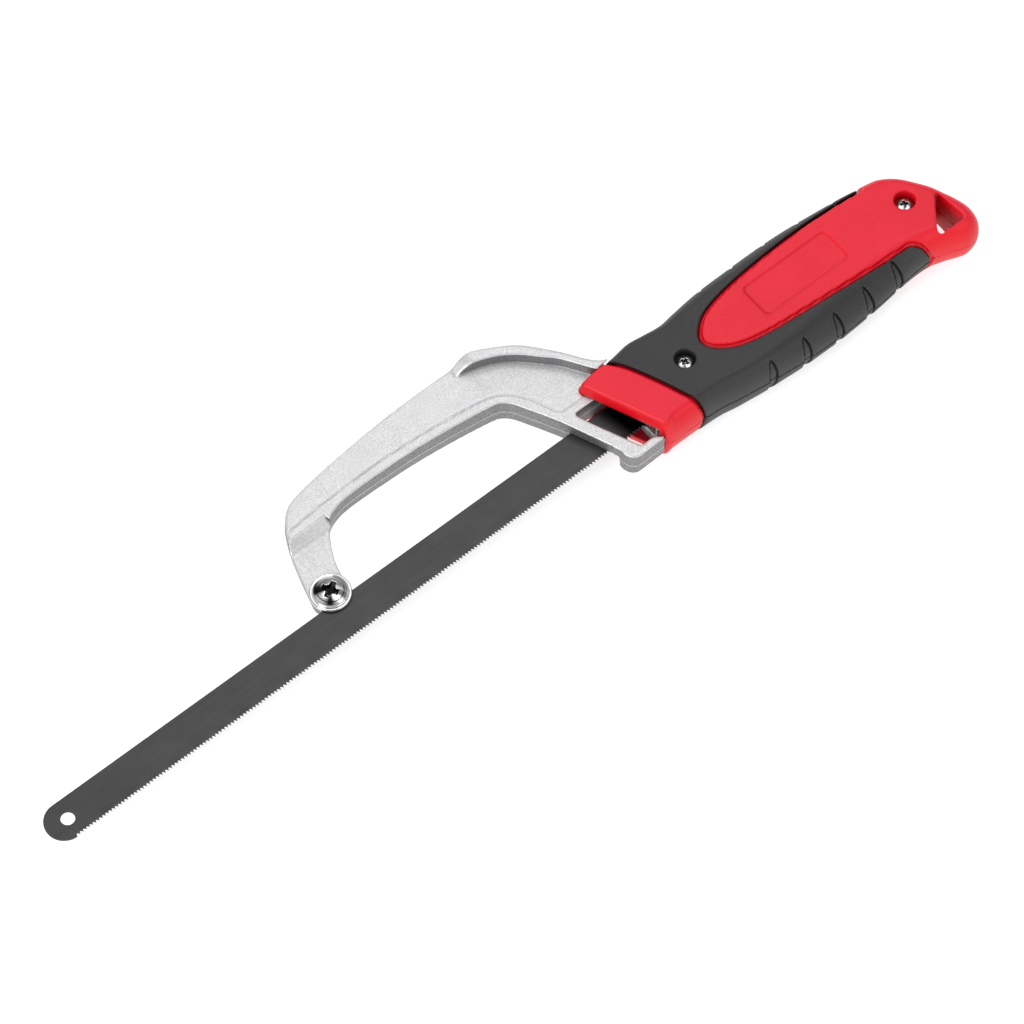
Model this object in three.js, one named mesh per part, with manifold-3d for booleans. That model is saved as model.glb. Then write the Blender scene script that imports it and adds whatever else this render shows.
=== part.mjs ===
// Mini hacksaw with a cast aluminium C-frame, a bare 250 mm blade that runs past the frame's arm,
// a clamp screw on the arm's end and a two-material clamshell handle.
// Millimetres. The saw lies on its side: X runs along the blade from its free tip to the handle,
// Y points from the teeth to the blade's back, and Z is the thickness, with the blade at z = 0.
import * as THREE from 'three';
import { mergeVertices } from 'three/addons/utils/BufferGeometryUtils.js';
import Module from 'manifold-3d';

// Blade
const BLADE_HOLE_SPACING = 250;
const BLADE_WIDTH = 13.2;
const BLADE_THICKNESS = 0.65;
const BLADE_HOLE_RADIUS = 2.3;
const BLADE_END_RADIUS = 6.6;
const BLADE_END_REACH = 1.3;
const TOOTH_PITCH = 1.25;
const TOOTH_HEIGHT = 0.7;
const TOOTH_COUNT = 196;

// Frame casting
const FRAME_HALF = 5.3;
const ARM_HALF = 4.2;
const TAPER_START = 190;
const ARM_START = 104;
const FRAME_DRAFT = 0.3;
const PANEL_RISE = 0.5;
const ARM_FACE = 0.28;
const SEAT_FACE = -0.38;
const SEAT_EDGE = 6.95;
const RIB_HALF = 10;
const TANG_FAR = -4.2;
const TANG_NEAR = -0.6;
const TANG_END = 300;
const TANG_HALF_WIDTH = 7.5;

// Blade clamp
const CLAMP_X = 111.4;
const CLAMP_Y = 9.9;
const CLAMP_SHANK_RADIUS = 3;
const CLAMP_HEAD_RADIUS = 5.9;
const CLAMP_HEAD_HEIGHT = 2.7;
const CLAMP_SHANK_END = -5;
const WASHER_RADIUS = 6.9;
const WASHER_THICKNESS = 1.3;
const WASHER_BASE = 0.38;

// Handle
const HANDLE_HALF = 11;
const HANDLE_START = 214;
const HANDLE_END = 362.8;
const HANDLE_NOSE = 8;
const GRIP_SKIN = 2.2;
const NECK_HALF_HEIGHT = 12.6;
const NECK_END = 236;
const POCKET_DEPTH = 7.8;
const POCKET_HALF_HEIGHT = 10.5;
const REAR_SCREW_X = 344.9;
const SCREW_HEAD_RADIUS = 2.7;
const SCREW_HEAD_HEIGHT = 2.2;
const SCREW_HEAD_TOP = 8.7;
const SCREW_SHANK_RADIUS = 1.45;
const SCREW_SHANK_END = -8.5;
const COUNTERBORE_RADIUS = 3.7;
const SLEEVE_RADIUS = 2.15;
const SLEEVE_NEAR = 1.5;
const SLEEVE_FAR = -4.4;

// Gaps between separate pieces
const GAP = 0.3;
const PARTING_GAP = 0.05;

const wasm = await Module();
wasm.setup();

// A closed three.js geometry as a manifold-3d solid.
function solid(geometry) {
  const positions = geometry.clone();
  positions.deleteAttribute('normal');
  positions.deleteAttribute('uv');
  const merged = mergeVertices(positions, 1e-4);
  return new wasm.Manifold(new wasm.Mesh({
    numProp: 3,
    vertProperties: new Float32Array(merged.attributes.position.array),
    triVerts: new Uint32Array(merged.index.array),
  }));
}

// A manifold-3d solid back as a flat-shaded three.js geometry.
function geometryOf(body) {
  const mesh = body.getMesh();
  const geometry = new THREE.BufferGeometry();
  geometry.setAttribute('position', new THREE.BufferAttribute(mesh.vertProperties, 3));
  geometry.setIndex(new THREE.BufferAttribute(mesh.triVerts, 1));
  const flat = geometry.toNonIndexed();
  flat.computeVertexNormals();
  return flat;
}

function points(pairs) {
  return pairs.map(([x, y]) => new THREE.Vector2(x, y));
}

// Points along a smooth curve through a few given points.
function smooth(pairs, perSpan = 4) {
  return new THREE.SplineCurve(points(pairs)).getPoints(perSpan * (pairs.length - 1));
}

function arc(x, y, radius, startDegrees, endDegrees, count) {
  return Array.from({ length: count + 1 }, (_, i) => {
    const angle = THREE.MathUtils.degToRad(startDegrees + (endDegrees - startDegrees) * i / count);
    return new THREE.Vector2(x + radius * Math.cos(angle), y + radius * Math.sin(angle));
  });
}

// Straight prism over an outline in XY.
function prism(outline, low, high) {
  const geometry = new THREE.ExtrudeGeometry(new THREE.Shape(outline), {
    depth: high - low,
    bevelEnabled: false,
  });
  return solid(geometry.translate(0, 0, low));
}

// Prism whose sides lean out by the draft angle to a parting line at z = 0.
function draftedPrism(outline, half) {
  const web = 0.2;
  const geometry = new THREE.ExtrudeGeometry(new THREE.Shape(outline), {
    depth: web,
    bevelThickness: half - web / 2,
    bevelSize: FRAME_DRAFT,
    bevelSegments: 1,
  });
  return solid(geometry.translate(0, 0, -web / 2));
}

function cylinder(x, y, radius, low, high, sides = 24) {
  const geometry = new THREE.CylinderGeometry(radius, radius, high - low, sides);
  return solid(geometry.rotateX(Math.PI / 2).translate(x, y, (low + high) / 2));
}

function block(x0, x1, y0, y1, z0, z1) {
  const geometry = new THREE.BoxGeometry(x1 - x0, y1 - y0, z1 - z0);
  return solid(geometry.translate((x0 + x1) / 2, (y0 + y1) / 2, (z0 + z1) / 2));
}

// Moves each point of a closed outline sideways along its own normal.
function offsetOutline(outline, distance) {
  const count = outline.length;
  return outline.map((point, i) => {
    const before = outline[(i + count - 1) % count];
    const after = outline[(i + 1) % count];
    const along = after.clone().sub(before).normalize();
    return new THREE.Vector2(point.x + along.y * distance, point.y - along.x * distance);
  });
}

// ---------------------------------------------------------------- frame casting

const BAR_TOP = [206.1, 9.3];
const BAR_FOOT = [214, -10.3];

const ARM_BACK = [
  [105.1, 11.5], [108.2, 22.2], [112, 32.6], [116.7, 39.6], [123.5, 42.9], [141.3, 45.4],
  [165, 47.2], [189, 47.4], [200, 45.9], [210, 40.4], [218.8, 31], [226.4, 20.4], [230, 16.3],
];
const LOOP = [
  BAR_TOP, [201.3, 18.8], [196.6, 26.3], [189.2, 28.7], [165, 31.5], [140, 32.2],
  [131, 31.2], [125.3, 27.9], [120.2, 19.3], [118, 12.2],
];
const PANEL_EDGE = [
  [108, 33.1], [129, 34.9], [149, 35.4], [169, 34.3], [189.3, 31.9], [197.3, 29.2],
  [203, 23.2], [207.2, 13.6], [209.4, 11.8],
];
const RIB_OUTER = [
  [190.5, 46.9], [194.5, 47.3], [200, 45.9], [210, 40.4], [218.8, 31], [226.4, 20.4], [231.5, 14],
];
const RIB_INNER = [
  [225.5, 13.5], [222.3, 19.8], [217.3, 28.5], [211.3, 35.4], [201.2, 41.6], [190.5, 43.8],
];

function frameOutline() {
  const boss = arc(CLAMP_X, CLAMP_Y, 6.6, 0, -190, 10);
  const foot = arc(218, -12.4, 4, 170, 275, 5);
  return [
    ...smooth(ARM_BACK),
    ...points([[236, 12], [236, -12], [228.4, -15.4]]),
    ...foot.reverse(),
    ...points([BAR_FOOT]),
    ...smooth(LOOP),
    ...boss,
  ];
}

// Side view of the casting's thickness, which narrows from the leg to the arm.
function thicknessEnvelope(extra) {
  const near = FRAME_HALF + extra;
  const arm = ARM_HALF + extra;
  const profile = points([
    [ARM_START - 10, -arm], [TAPER_START, -near], [240, -near],
    [240, near], [TAPER_START, near], [ARM_START - 10, arm],
  ]);
  const geometry = new THREE.ExtrudeGeometry(new THREE.Shape(profile), {
    depth: 120,
    bevelEnabled: false,
  });
  return solid(geometry.rotateX(Math.PI / 2).translate(0, 60, 0));
}

// The web, with a band round the loop that lies a little lower than the panel.
function frameWeb() {
  const web = draftedPrism(frameOutline(), FRAME_HALF + PANEL_RISE);
  const panel = [
    ...smooth(PANEL_EDGE),
    ...points([[240, 11.8], [240, 60], [100, 60]]),
  ];
  const raised = prism(panel, -20, 20).intersect(thicknessEnvelope(PANEL_RISE));
  return web.intersect(thicknessEnvelope(0).add(raised));
}

// The thumb rib along the casting's back, as wide as the handle it runs into.
function thumbRib() {
  const tip = arc(190.5, 45.35, 1.6, 260, 100, 6);
  return prism([...smooth(RIB_OUTER), ...smooth(RIB_INNER), ...tip], -RIB_HALF, RIB_HALF);
}

// Window between the bar and the collar, where the blade can be seen.
function frameWindow() {
  const corners = points([
    [213.2, 9.6], [212.3, 8.6], [215.5, -1.2], [219.6, -10.9], [221, -13.9], [228.4, -13.1], [228.4, 9.6],
  ]);
  return prism(corners, -20, 20);
}

// The arm's near face drops from the web to the level of the blade, and its end has a seat for it.
function armRelief() {
  const ramp = points([[-8, ARM_FACE], [28.6, ARM_FACE], [32.8, 6], [-8, 6]]);
  const geometry = new THREE.ExtrudeGeometry(new THREE.Shape(ramp), { depth: 30, bevelEnabled: false });
  geometry.rotateX(Math.PI / 2).rotateZ(Math.PI / 2).translate(97, 0, 0);
  return solid(geometry).add(block(97, 127, -8, SEAT_EDGE, SEAT_FACE, 6));
}

// Open notch for the blade in the far half of the bar, from the blade's back down to the foot.
function bladeNotch() {
  const near = BLADE_THICKNESS / 2 + 0.25;
  return prism(points([[200, -10.3], [215.2, -10.3], [222, -10.3], [214.6, 7.3], [200, 7.3]]), -20, near);
}

function tang() {
  const plate = block(228, TANG_END, -TANG_HALF_WIDTH, TANG_HALF_WIDTH, TANG_FAR, TANG_NEAR);
  return plate.subtract(cylinder(BLADE_HOLE_SPACING, 0, SLEEVE_RADIUS + GAP, -10, 10));
}

function frameCasting() {
  const neck = block(228.4, NECK_END, -NECK_HALF_HEIGHT, NECK_HALF_HEIGHT, -FRAME_HALF, FRAME_HALF);
  const bladeRoom = block(227, 240, -11.2, 8, TANG_NEAR, 20);
  const outside = frameWeb().add(thumbRib()).subtract(handleEnvelope(GAP));
  return outside
    .add(neckBridge())
    .add(neck)
    .subtract(frameWindow())
    .subtract(bladeRoom)
    .add(tang())
    .subtract(bladeNotch())
    .subtract(armRelief())
    .subtract(cylinder(CLAMP_X, CLAMP_Y, CLAMP_SHANK_RADIUS + GAP, -10, 10));
}

// The stretch of the casting that passes through the collar's mouth.
function neckBridge() {
  const passage = block(214, 229, -NECK_HALF_HEIGHT, NECK_HALF_HEIGHT, -FRAME_HALF, FRAME_HALF);
  return passage.intersect(draftedPrism(frameOutline(), FRAME_HALF));
}

// ---------------------------------------------------------------- handle

// Side view of the handle: heights of its back and its belly along X.
const HANDLE_TOP = [
  [214, 14], [217, 14.6], [220, 15.7], [227, 16.5], [233, 17.2], [239.5, 18.1], [246, 17.6],
  [252.6, 17.1], [259, 18], [270, 19.3], [284, 19.8], [295, 19.9], [306, 19.6], [318, 18.6],
  [330, 17.2], [336, 16.2], [342.9, 15], [346, 13.8], [349.2, 11.7], [351.8, 9.2], [354.9, 5.2],
  [357.9, 0.7], [359.7, -4.1], [361.4, -9.1], [362.8, -13],
];
const HANDLE_BELLY = [
  [214, -16.6], [229, -16.7], [243, -16.8], [252, -17.3], [258, -18.4], [263.4, -19.1], [269.5, -19.9],
  [277, -20.6], [283.5, -21.2], [292, -21.5], [298, -21.6], [304, -21.35], [311, -20.95], [318, -20.4],
  [324.4, -19.7], [330, -19], [335, -18.6], [339.5, -18.5], [343, -18.6], [347.6, -19.9], [352, -21.5],
  [355, -22.3], [357.6, -22.1], [360.2, -20.6], [361.8, -18.2], [362.8, -15.5],
];
// Width of the rounded edge between the handle's flat side and its back, and the same at its belly.
const BACK_ROUND = [
  [214, 3], [240, 3.2], [255, 4.5], [285, 6], [320, 6], [340, 5], [350, 5.2], [357, 6.4], [362.8, 8],
];
const BELLY_ROUND = [
  [214, 4], [243, 4.5], [255, 5], [268, 5.5], [276, 6.5], [286, 8.4], [300, 11], [314, 12], [324, 13],
  [335, 9], [345, 6], [362.8, 5.5],
];

// Smooth value of a curve given by a few points, at one x.
function valueAt(curve, x) {
  const last = curve.length - 2;
  const span = Math.min(last, Math.max(0, curve.findIndex(([px]) => px >= x) - 1));
  const [x1, y1] = curve[span];
  const [x2, y2] = curve[span + 1];
  const [x0, y0] = curve[Math.max(0, span - 1)];
  const [x3, y3] = curve[Math.min(last + 1, span + 2)];
  const t = (x - x1) / (x2 - x1);
  const width = x2 - x1;
  const startSlope = (y2 - y0) / (x2 - x0) * width;
  const endSlope = (y3 - y1) / (x3 - x1) * width;
  const t2 = t * t;
  const t3 = t2 * t;
  return (2 * t3 - 3 * t2 + 1) * y1 + (t3 - 2 * t2 + t) * startSlope
    + (3 * t2 - 2 * t3) * y2 + (t3 - t2) * endSlope;
}

// One cross-section of the handle: flat sides with elliptical edges, drawn in by an inset.
function handleSection(x, inset) {
  const noseStart = HANDLE_END - inset - HANDLE_NOSE;
  const nose = Math.max(0, (x - noseStart) / HANDLE_NOSE);
  const half = (HANDLE_HALF - inset) * (0.45 + 0.55 * Math.sqrt(Math.max(0, 1 - nose * nose)));
  const top = valueAt(HANDLE_TOP, x) - inset;
  const belly = valueAt(HANDLE_BELLY, x) + inset;
  const squeeze = Math.min(1, 0.92 * (top - belly) / (valueAt(BACK_ROUND, x) + valueAt(BELLY_ROUND, x)));
  const backRound = valueAt(BACK_ROUND, x) * squeeze;
  const bellyRound = valueAt(BELLY_ROUND, x) * squeeze;
  const ring = [];
  const steps = 4;
  for (let quarter = 0; quarter < 4; quarter += 1) {
    const isBack = quarter === 0 || quarter === 3;
    const round = isBack ? backRound : bellyRound;
    const centre = isBack ? top - backRound : belly + bellyRound;
    for (let i = 0; i <= steps; i += 1) {
      const angle = Math.PI / 2 * (quarter + i / steps);
      const y = centre + round * Math.cos(angle);
      const z = half * Math.sin(angle);
      const repeated = quarter % 2 === 1 && i === steps;
      if (!repeated) ring.push([x, y, z]);
    }
  }
  return ring;
}

// Solid lofted through the handle's cross-sections.
function handleLoft(inset, start = HANDLE_START) {
  const end = HANDLE_END - inset;
  const stations = [];
  for (let x = start; x < end - HANDLE_NOSE; x += 4.5) stations.push(x);
  for (let i = 0; i <= 6; i += 1) {
    stations.push(end - HANDLE_NOSE + HANDLE_NOSE * Math.sin(Math.PI / 2 * i / 6));
  }
  const rings = stations.map((x) => handleSection(x, inset));
  const size = rings[0].length;
  const vertices = rings.flat(2);
  const faces = [];
  for (let s = 0; s < rings.length - 1; s += 1) {
    for (let i = 0; i < size; i += 1) {
      const a = s * size + i;
      const b = s * size + (i + 1) % size;
      faces.push(a, b, a + size, b, b + size, a + size);
    }
  }
  const lastRing = (rings.length - 1) * size;
  for (let i = 1; i < size - 1; i += 1) {
    faces.push(0, i + 1, i);
    faces.push(lastRing, lastRing + i, lastRing + i + 1);
  }
  const geometry = new THREE.BufferGeometry();
  geometry.setAttribute('position', new THREE.Float32BufferAttribute(vertices, 3));
  geometry.setIndex(faces);
  return solid(geometry);
}

// The slanted mouth of the collar is one straight line in the side view.
function collarFront(shift) {
  return prism(points([[190, 30], [210.4 - shift, 30], [232.4 - shift, -24], [190, -24]]), -30, 30);
}

// Outer form of the whole handle, grown by a clearance for its neighbours.
function handleEnvelope(clearance) {
  return handleLoft(-clearance).subtract(collarFront(clearance));
}

const COLLAR_SEAM = [
  [228.2, 18.5], [229.6, 15.5], [233.5, 10], [238, 0], [241.3, -9], [243, -14.5], [244.4, -22],
];
const GRIP_REAR = [[344, -24], [341.7, -19.3], [338.9, -15.8], [335.8, -13.7]];
const TONGUE_LOWER = [
  [326, -12.9], [311.9, -12.3], [291.8, -10.9], [276.7, -9.4], [266.6, -7], [260.6, -3.2], [258.4, 0.6],
];
const TONGUE_UPPER = [
  [259.6, 4.3], [265.6, 8.9], [276, 11.6], [291.8, 13.3], [311.9, 14.1], [326, 13.7], [336.2, 12.8],
];

// Side view of the soft grip: all of the handle between the collar and the butt but the hard tongue.
function gripRegion() {
  return [
    ...smooth(COLLAR_SEAM, 3),
    ...smooth(GRIP_REAR, 3),
    ...smooth([...TONGUE_LOWER, ...TONGUE_UPPER], 3),
    ...points([[336.6, 16], [336.8, 24], [232, 24]]),
  ];
}

function hangingHole() {
  const corners = points([[354.8, -5], [346, -15.2], [346, -17.6], [356.2, -18.6], [357, -17.6]]);
  return prism(corners, -20, 20);
}

function screwBore(x, counterboreRadius) {
  return cylinder(x, 0, SCREW_SHANK_RADIUS + GAP, SCREW_SHANK_END - GAP, 20, 16)
    .add(cylinder(x, 0, counterboreRadius, SCREW_HEAD_TOP - SCREW_HEAD_HEIGHT - GAP, 20));
}

// Hollow inside the handle for the casting's neck, its tang, the blade's tail and moulding pockets.
function handleHollow() {
  const neckHalf = FRAME_HALF + GAP;
  const neck = block(200, NECK_END + GAP, -NECK_HALF_HEIGHT - GAP, NECK_HALF_HEIGHT + GAP, -neckHalf, neckHalf);
  const tail = block(230, 261, -10.5, 11, TANG_FAR - GAP, 1.2);
  const tangRoom = block(
    230, TANG_END + GAP, -TANG_HALF_WIDTH - GAP, TANG_HALF_WIDTH + GAP, TANG_FAR - GAP, 0.2,
  );
  const pocketWidth = 21;
  let hollow = neck.add(tail).add(tangRoom);
  for (let x = 264; x < 330; x += pocketWidth + 2.2) {
    hollow = hollow.add(block(
      x, x + pocketWidth, -POCKET_HALF_HEIGHT, POCKET_HALF_HEIGHT, -POCKET_DEPTH, POCKET_DEPTH,
    ));
  }
  const sleeveRoom = cylinder(BLADE_HOLE_SPACING, 0, SLEEVE_RADIUS + GAP, SLEEVE_FAR - GAP, SLEEVE_NEAR + GAP);
  return hollow.add(sleeveRoom);
}

function halfSpace(side) {
  return side > 0
    ? block(200, 380, -40, 40, PARTING_GAP, 40)
    : block(200, 380, -40, 40, -40, -PARTING_GAP);
}

// Hard red half shell: collar, core under the grip, tongue and butt in one moulding.
function handleShell(side) {
  const core = handleLoft(GRIP_SKIN + GAP);
  const skinZone = prism(gripRegion(), -30, 30).subtract(core);
  return handleEnvelope(0)
    .subtract(skinZone)
    .subtract(handleHollow())
    .subtract(hangingHole())
    .subtract(screwBore(BLADE_HOLE_SPACING, COUNTERBORE_RADIUS))
    .subtract(screwBore(REAR_SCREW_X, COUNTERBORE_RADIUS - 0.2))
    .intersect(halfSpace(side));
}

// Soft black half grip, moulded round the shell's core.
function gripCover(side) {
  const region = offsetOutline(gripRegion(), -GAP);
  return handleLoft(0)
    .intersect(prism(region, -30, 30))
    .subtract(handleLoft(GRIP_SKIN))
    .subtract(screwBore(BLADE_HOLE_SPACING, COUNTERBORE_RADIUS + 0.2))
    .intersect(halfSpace(side));
}

// ---------------------------------------------------------------- blade, clamp and screws

function blade() {
  const half = BLADE_WIDTH / 2;
  const tipCentre = -BLADE_END_REACH;
  const tailCentre = BLADE_HOLE_SPACING + BLADE_END_REACH;
  const outline = [
    ...arc(tailCentre, 0, BLADE_END_RADIUS, -90, 90, 10),
    ...arc(tipCentre, 0, BLADE_END_RADIUS, 90, 270, 14),
  ];
  for (let i = 0; i < TOOTH_COUNT; i += 1) {
    const x = tipCentre + i * TOOTH_PITCH;
    outline.push(new THREE.Vector2(x + 0.3, -half + TOOTH_HEIGHT));
    outline.push(new THREE.Vector2(x + TOOTH_PITCH, -half));
  }
  const thickness = BLADE_THICKNESS / 2;
  let body = prism(outline, -thickness, thickness);
  for (const x of [0, BLADE_HOLE_SPACING]) {
    body = body.subtract(cylinder(x, 0, BLADE_HOLE_RADIUS, -5, 5, 32));
  }
  return body;
}

// Cross recess of a pan head, as two crossed tapered slots.
function crossRecess(span, width, depth) {
  const slot = new THREE.CylinderGeometry(span / 2, span / 6, depth, 4).rotateY(Math.PI / 4);
  slot.rotateX(Math.PI / 2).scale(1, width / span, 1).translate(0, 0, -depth / 2 + 0.01);
  const turned = slot.clone().rotateZ(Math.PI / 2);
  return solid(slot).add(solid(turned));
}

// Pan head screw standing along Z with its head's underside at z = 0.
function panHeadScrew(headRadius, headHeight, shankRadius, shankLength, sides) {
  const profile = points([
    [0, -shankLength], [shankRadius * 0.8, -shankLength], [shankRadius, -shankLength + shankRadius * 0.3],
    [shankRadius, 0], [headRadius * 0.94, 0], [headRadius, headHeight * 0.12],
    [headRadius, headHeight * 0.42], [headRadius * 0.93, headHeight * 0.72],
    [headRadius * 0.76, headHeight * 0.92], [headRadius * 0.5, headHeight], [0, headHeight],
  ]);
  const lathe = new THREE.LatheGeometry(profile, sides).rotateX(Math.PI / 2);
  const recess = crossRecess(headRadius * 1.15, headRadius * 0.3, headHeight * 0.7);
  return solid(lathe).subtract(recess.translate([0, 0, headHeight]));
}

function clampScrew() {
  const seat = WASHER_BASE + WASHER_THICKNESS + PARTING_GAP;
  return panHeadScrew(CLAMP_HEAD_RADIUS, CLAMP_HEAD_HEIGHT, CLAMP_SHANK_RADIUS, seat - CLAMP_SHANK_END, 36)
    .rotate([0, 0, 28])
    .translate([CLAMP_X, CLAMP_Y, seat]);
}

function clampWasher() {
  const top = WASHER_BASE + WASHER_THICKNESS;
  return cylinder(CLAMP_X, CLAMP_Y, WASHER_RADIUS, WASHER_BASE, top, 40)
    .subtract(cylinder(CLAMP_X, CLAMP_Y, CLAMP_SHANK_RADIUS + GAP, -1, 5));
}

function handleScrew(x, turn) {
  const seat = SCREW_HEAD_TOP - SCREW_HEAD_HEIGHT;
  return panHeadScrew(SCREW_HEAD_RADIUS, SCREW_HEAD_HEIGHT, SCREW_SHANK_RADIUS, seat - SCREW_SHANK_END, 20)
    .rotate([0, 0, turn])
    .translate([x, 0, seat]);
}

function bladePinSleeve() {
  return cylinder(BLADE_HOLE_SPACING, 0, SLEEVE_RADIUS, SLEEVE_FAR, SLEEVE_NEAR)
    .subtract(cylinder(BLADE_HOLE_SPACING, 0, SCREW_SHANK_RADIUS + 0.2, -20, 20, 16));
}

// ---------------------------------------------------------------- assembly

function material(color, roughness, metalness) {
  return new THREE.MeshStandardMaterial({ color, roughness, metalness });
}

const castAluminium = material(0xd6d7d8, 0.6, 0.9);
const bladeSteel = material(0x4b4b4c, 0.45, 0.7);
const platedSteel = material(0xc9cbcd, 0.25, 1);
const redPlastic = material(0xe22b36, 0.45, 0);
const softGrip = material(0x2c2c2c, 0.75, 0);

const saw = new THREE.Group();

function addPart(name, body, finish) {
  const mesh = new THREE.Mesh(geometryOf(body), finish.clone());
  mesh.name = name;
  saw.add(mesh);
}

addPart('frame_casting', frameCasting(), castAluminium);
addPart('blade', blade(), bladeSteel);
addPart('clamp_screw', clampScrew(), platedSteel);
addPart('clamp_washer', clampWasher(), platedSteel);
addPart('handle_shell_near', handleShell(1), redPlastic);
addPart('handle_shell_far', handleShell(-1), redPlastic);
addPart('grip_cover_near', gripCover(1), softGrip);
addPart('grip_cover_far', gripCover(-1), softGrip);
addPart('handle_screw_front', handleScrew(BLADE_HOLE_SPACING, 20), platedSteel);
addPart('handle_screw_rear', handleScrew(REAR_SCREW_X, 65), platedSteel);
addPart('blade_pin_sleeve', bladePinSleeve(), platedSteel);

// The origin is the middle of the saw's footprint on the surface it lies on.
const bounds = new THREE.Box3().setFromObject(saw);
const middle = bounds.getCenter(new THREE.Vector3());
saw.position.set(-middle.x, -middle.y, -bounds.min.z);

const group = new THREE.Group();
group.add(saw);
group.updateMatrixWorld(true);

export default group;
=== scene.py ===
import math

import bmesh
import bpy
import numpy as np
from mathutils import Matrix, Vector, geometry


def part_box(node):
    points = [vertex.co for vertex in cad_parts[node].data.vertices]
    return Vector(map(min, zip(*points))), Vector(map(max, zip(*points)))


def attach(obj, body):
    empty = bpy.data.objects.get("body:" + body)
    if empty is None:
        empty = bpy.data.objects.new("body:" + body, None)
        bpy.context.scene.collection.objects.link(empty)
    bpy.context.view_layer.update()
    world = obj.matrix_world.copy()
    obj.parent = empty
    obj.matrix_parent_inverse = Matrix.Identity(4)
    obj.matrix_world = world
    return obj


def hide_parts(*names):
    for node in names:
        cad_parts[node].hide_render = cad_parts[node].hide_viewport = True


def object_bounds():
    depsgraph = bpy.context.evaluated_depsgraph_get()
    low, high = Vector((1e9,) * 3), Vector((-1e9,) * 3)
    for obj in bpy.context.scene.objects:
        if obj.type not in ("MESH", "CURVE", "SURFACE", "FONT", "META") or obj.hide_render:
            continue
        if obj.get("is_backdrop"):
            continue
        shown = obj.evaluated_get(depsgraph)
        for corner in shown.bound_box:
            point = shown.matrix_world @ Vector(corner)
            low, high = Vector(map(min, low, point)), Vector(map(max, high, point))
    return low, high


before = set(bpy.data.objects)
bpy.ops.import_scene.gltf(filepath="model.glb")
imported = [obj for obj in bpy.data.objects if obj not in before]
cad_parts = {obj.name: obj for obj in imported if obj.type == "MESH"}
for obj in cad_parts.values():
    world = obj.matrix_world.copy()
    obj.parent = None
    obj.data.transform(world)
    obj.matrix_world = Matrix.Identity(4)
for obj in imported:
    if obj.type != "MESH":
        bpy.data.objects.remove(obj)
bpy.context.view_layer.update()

# Lengths below are in millimetres, measured from the hole at the blade's free tip:
# X along the blade to the handle, Y from the teeth to the blade's back, Z up, with the blade at Z = 0.
MM = 0.001
BLADE_TIP_REACH = 7.9
BLADE_HALF_WIDTH = 6.6
blade_low, blade_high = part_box("blade")
ORIGIN = np.array([
    blade_low.x + BLADE_TIP_REACH * MM,
    blade_high.y - BLADE_HALF_WIDTH * MM,
    (blade_low.z + blade_high.z) / 2,
])


def to_row(points):
    return np.asarray(points, float) * MM + ORIGIN


# ---------------------------------------------------------------- shapes as distance fields

def curve(pairs, per_span=8):
    """Points along a smooth curve through a few given points."""
    p = np.array(pairs, float)
    p = np.vstack([p[:1], p, p[-1:]])
    t = (np.arange(per_span) / per_span)[:, None]
    made = []
    for a, b, c, d in zip(p, p[1:], p[2:], p[3:]):
        out, back = (c - a) / 2, (d - b) / 2
        made.append((2 * b - 2 * c + out + back) * t**3 + (3 * c - 3 * b - 2 * out - back) * t**2 + out * t + b)
    return np.vstack(made + [p[-1:]])


def arc(x, y, radius, start, end, count=10):
    angle = np.radians(np.linspace(start, end, count))
    return np.stack([x + radius * np.cos(angle), y + radius * np.sin(angle)], 1)


def outline_distance(outline, x, y):
    """Signed distance from points to a closed outline, negative inside it."""
    x, y = np.broadcast_arrays(x, y)
    shape = x.shape
    px, py = x.ravel(), y.ravel()
    best = np.full(px.shape, 1e9)
    inside = np.zeros(px.shape, bool)
    for (ax, ay), (bx, by) in zip(outline, np.roll(outline, -1, 0)):
        ex, ey = bx - ax, by - ay
        length = ex * ex + ey * ey
        if length < 1e-12:
            continue
        wx, wy = px - ax, py - ay
        t = np.clip((wx * ex + wy * ey) / length, 0, 1)
        best = np.minimum(best, (wx - t * ex) ** 2 + (wy - t * ey) ** 2)
        if ay != by:
            inside ^= ((ay > py) != (by > py)) & (px < ex * wy / ey + ax)
    distance = np.sqrt(best)
    return np.where(inside, -distance, distance).reshape(shape)


def both(a, b, radius=0.0):
    """Where both fields are solid, with the edge between them rounded."""
    if radius == 0:
        return np.maximum(a, b)
    return np.minimum(-radius, np.maximum(a, b)) + np.hypot(np.maximum(a + radius, 0), np.maximum(b + radius, 0))


def either(a, b, radius=0.0):
    """Where either field is solid, with the corner between them filleted."""
    if radius == 0:
        return np.minimum(a, b)
    return np.maximum(radius, np.minimum(a, b)) - np.hypot(np.maximum(radius - a, 0), np.maximum(radius - b, 0))


def without(a, b, radius=0.0):
    return both(a, -b, radius)


def slab(value, low, high):
    return np.abs(value - (low + high) / 2) - (high - low) / 2


def box_field(x, y, z, x0, x1, y0, y1, z0, z1):
    return np.maximum(np.maximum(slab(x, x0, x1), slab(y, y0, y1)), slab(z, z0, z1))


def rod(x, y, cx, cy, radius):
    return np.hypot(x - cx, y - cy) - radius


def ease(t):
    t = np.clip(t, 0, 1)
    return t * t * (3 - 2 * t)


def steps(low, high, pitch):
    return np.arange(low, high + pitch, pitch)


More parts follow.
